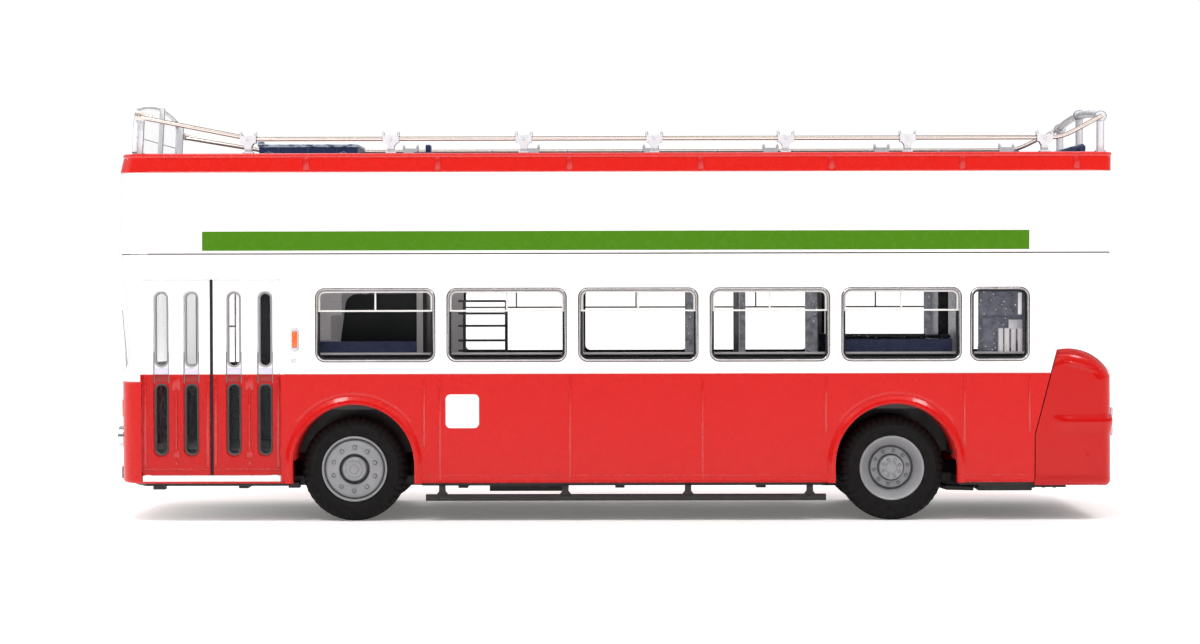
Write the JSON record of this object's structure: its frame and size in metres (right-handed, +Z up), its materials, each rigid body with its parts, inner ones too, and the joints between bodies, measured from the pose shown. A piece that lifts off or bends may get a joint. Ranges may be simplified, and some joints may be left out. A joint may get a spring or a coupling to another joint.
{
  "type": "open-top double-deck bus scale model",
  "caption": "Die-cast style scale model of a rear-engined open-top double-deck bus with moulded seats, clear glazing, handrails and wheels that roll.",
  "frame": {"origin": "on the ground under the middle of the model", "axes": "+Z up, -X is the front of the bus, -Y is the entrance side"},
  "size_m": [0.1262, 0.0336, 0.0531],
  "materials": {
    "body_paint": "gloss",
    "cover_paint": "gloss",
    "door_paint": "gloss",
    "white_plastic": "gloss",
    "clear_glazing": "gloss",
    "black_plastic": "satin",
    "grey_plastic": "satin",
    "blue_plastic": "satin",
    "rail_plastic": "satin",
    "rail_metal": "satin",
    "axle_steel": "satin",
    "wheel_plastic": "satin",
    "tyre_rubber": "matte",
    "lamp_silver": "polished",
    "lamp_red": "gloss",
    "lamp_amber": "gloss"
  },
  "bodies": {
    "bus_body": {"lower_deck_body": "body_paint", "upper_deck_body": "body_paint", "engine_cover": "cover_paint", "front_door_pair": "door_paint", "rear_door_pair": "door_paint", "door_glazing": "clear_glazing", "entrance_step": "white_plastic", "nearside_glazing": "clear_glazing", "offside_glazing": "clear_glazing", "lower_windscreen": "clear_glazing", "rear_window": "clear_glazing", "destination_panel": "black_plastic", "upper_deck_floor": "grey_plastic", "upper_seats_nearside": "blue_plastic", "upper_seats_offside": "blue_plastic", "upper_rear_bench": "blue_plastic", "stair_cover": "blue_plastic", "upper_windscreen": "clear_glazing", "windscreen_posts": "rail_plastic", "nearside_handrail": "rail_metal", "offside_handrail": "rail_metal", "rear_handrail": "rail_metal", "nearside_rail_brackets": "rail_plastic", "offside_rail_brackets": "rail_plastic", "saloon_floor": "grey_plastic", "saloon_seats": "blue_plastic", "wheel_box_benches": "blue_plastic", "lower_rear_bench": "blue_plastic", "rear_bulkhead": "grey_plastic", "staircase": "grey_plastic", "stair_panel": "black_plastic", "stair_guard": "rail_metal", "grab_poles": "rail_metal", "saloon_partition": "grey_plastic", "cab_partition": "grey_plastic", "drivers_seat": "blue_plastic", "dashboard": "black_plastic", "steering_wheel": "black_plastic", "chassis_plate": "black_plastic", "side_guards": "black_plastic", "front_bumper": "black_plastic", "headlamps": "lamp_silver", "rear_lamps": "lamp_red", "number_plates": "white_plastic", "side_repeaters": "lamp_amber"},
    "front_wheel_set": {"front_axle": "axle_steel", "front_hubs": "wheel_plastic", "front_tyres": "tyre_rubber"},
    "rear_wheel_set": {"rear_axle": "axle_steel", "rear_hubs": "wheel_plastic", "rear_tyres": "tyre_rubber"}
  },
  "joints": [
    {"name": "front_wheels_spin", "type": "hinge", "parent": "bus_body", "child": "front_wheel_set", "pos_m": [-0.0329, 0, 0.0066], "axis": [0, 1, 0], "continuous": true},
    {"name": "rear_wheels_spin", "type": "hinge", "parent": "bus_body", "child": "rear_wheel_set", "pos_m": [0.0349, 0, 0.0066], "axis": [0, 1, 0], "continuous": true}
  ]
}
